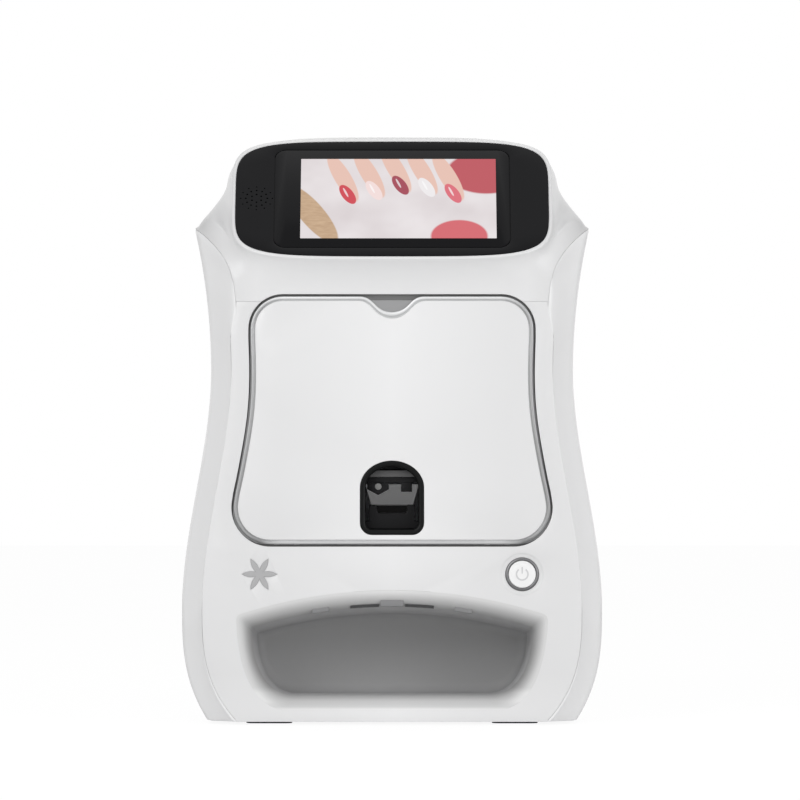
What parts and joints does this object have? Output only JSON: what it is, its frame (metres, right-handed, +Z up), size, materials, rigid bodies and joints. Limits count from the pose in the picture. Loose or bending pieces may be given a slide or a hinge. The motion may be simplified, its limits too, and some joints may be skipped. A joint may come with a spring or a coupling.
{
  "type": "digital nail art printer",
  "caption": "Countertop digital nail art printer with a waisted housing, tilted touch screen, fold-down front door with a finger window and a hand hollow.",
  "frame": {"origin": "centre of the housing on the plane it stands on", "axes": "+Z up, the front with the screen and door faces -Y, +X to the right seen from the front"},
  "size_m": [0.3288, 0.3, 0.462],
  "materials": {
    "shell_white": "satin moulded housing",
    "panel_white": "satin painted door panel",
    "glass_black": "glossy black bezel",
    "touch_glass": "polished black touch glass over the screen",
    "trim_silver": "satin silver trim",
    "ornament_grey": "grey moulded rosette",
    "liner_grey": "grey moulded liner",
    "inner_grey": "light grey moulding",
    "dark_plastic": "dark moulded plastic",
    "block_grey": "dark grey moulding",
    "rubber_black": "matt",
    "sheet_steel": "zinc-plated sheet",
    "rod_steel": "ground steel",
    "bronze": "sintered bronze",
    "magnet": "nickel-plated",
    "latch_blue": "moulded",
    "ink_body": "moulded cartridge",
    "board_green": "circuit board",
    "rocker_red": "moulded",
    "lamp_lens": "milky lens"
  },
  "bodies": {
    "housing": {"base_plate": "liner_grey", "rubber_feet": "rubber_black", "side_panel_left": "shell_white", "side_panel_right": "shell_white", "rear_panel": "shell_white", "front_frame": "shell_white", "top_cover": "shell_white", "hollow_lip": "shell_white", "hand_liner": "liner_grey", "ornament": "ornament_grey", "display_bezel": "glass_black", "touch_panel": "touch_glass", "lcd_module": "sheet_steel", "speaker": "dark_plastic", "display_bracket": "sheet_steel", "button_ring": "trim_silver", "button_spring": "rod_steel", "button_board": "board_green", "hinge_pins": "rod_steel", "chassis_sides": "sheet_steel", "chassis_deck": "sheet_steel", "chassis_back": "sheet_steel", "chassis_bridge": "sheet_steel", "rail_rods": "rod_steel", "rail_brackets": "block_grey", "gantry_motor": "block_grey", "finger_cradle": "dark_plastic", "finger_stop": "inner_grey", "bay_walls": "sheet_steel", "lamp_bar": "inner_grey", "lamp_strip": "dark_plastic", "camera_bracket": "dark_plastic", "camera_lens": "lamp_lens", "power_inlet": "dark_plastic", "rocker_housing": "dark_plastic", "fan_frame": "dark_plastic", "mainboard": "board_green", "power_supply": "sheet_steel", "case_screws": "rod_steel"},
    "door": {"door_panel": "panel_white", "door_trim": "trim_silver", "door_liner": "inner_grey", "window_bezel": "glass_black", "door_magnets": "magnet"},
    "button": {"button_cap": "shell_white"},
    "rocker": {"power_rocker": "rocker_red"},
    "fan": {"fan_rotor": "dark_plastic"},
    "screw": {"lead_screw": "rod_steel"},
    "gantry": {"gantry_blocks": "block_grey", "gantry_bushes": "bronze", "gantry_beam": "sheet_steel", "cross_rods": "rod_steel", "drive_belt": "rubber_black", "carriage_motor": "block_grey"},
    "drive_wheel": {"drive_pulley": "rod_steel"},
    "idler_wheel": {"idler_pulley": "rod_steel"},
    "carriage_unit": {"carriage": "block_grey", "carriage_bushes": "bronze", "ink_cartridge": "ink_body"},
    "latch": {"carriage_latch": "latch_blue"}
  },
  "joints": [
    {"name": "door_hinge", "type": "hinge", "parent": "housing", "child": "door", "pos_m": [0, -0.14045, 0.14101], "axis": [1, 0, 0], "range_deg": [0, 90]},
    {"name": "power_button", "type": "slide", "parent": "housing", "child": "button", "axis": [0, 0.9983, -0.058], "range_m": [0, 0.0015], "stiffness_N_per_m": 400},
    {"name": "power_rocker", "type": "hinge", "parent": "housing", "child": "rocker", "pos_m": [-0.04, 0.143, 0.062], "axis": [1, 0, 0], "range_deg": [-8, 8]},
    {"name": "fan_spin", "type": "hinge", "parent": "housing", "child": "fan", "pos_m": [0, 0.139, 0.262], "axis": [0, 1, 0], "continuous": true},
    {"name": "gantry_slide", "type": "slide", "parent": "housing", "child": "gantry", "axis": [0, 1, 0], "range_m": [-0.014, 0.014]},
    {"name": "screw_spin", "type": "hinge", "parent": "housing", "child": "screw", "pos_m": [-0.068, -0.048, 0.298], "axis": [0, 1, 0], "range_deg": [-635, 635]},
    {"name": "drive_spin", "type": "hinge", "parent": "gantry", "child": "drive_wheel", "pos_m": [0.084, -0.048, 0.2841], "axis": [0, 1, 0], "range_deg": [-401, 401]},
    {"name": "idler_spin", "type": "hinge", "parent": "gantry", "child": "idler_wheel", "pos_m": [-0.084, -0.048, 0.2841], "axis": [0, 1, 0], "range_deg": [-401, 401]},
    {"name": "carriage_slide", "type": "slide", "parent": "gantry", "child": "carriage_unit", "axis": [1, 0, 0], "range_m": [-0.048, 0.048]},
    {"name": "latch_hinge", "type": "hinge", "parent": "carriage_unit", "child": "latch", "pos_m": [0, -0.062, 0.271], "axis": [-1, 0, 0], "range_deg": [0, 70]}
  ],
  "couplings": [
    {"joint": "screw_spin", "follows": "gantry_slide", "rad_per_m": 785.4},
    {"joint": "drive_spin", "follows": "carriage_slide", "rad_per_m": -143.88},
    {"joint": "idler_spin", "follows": "carriage_slide", "rad_per_m": -143.88}
  ]
}
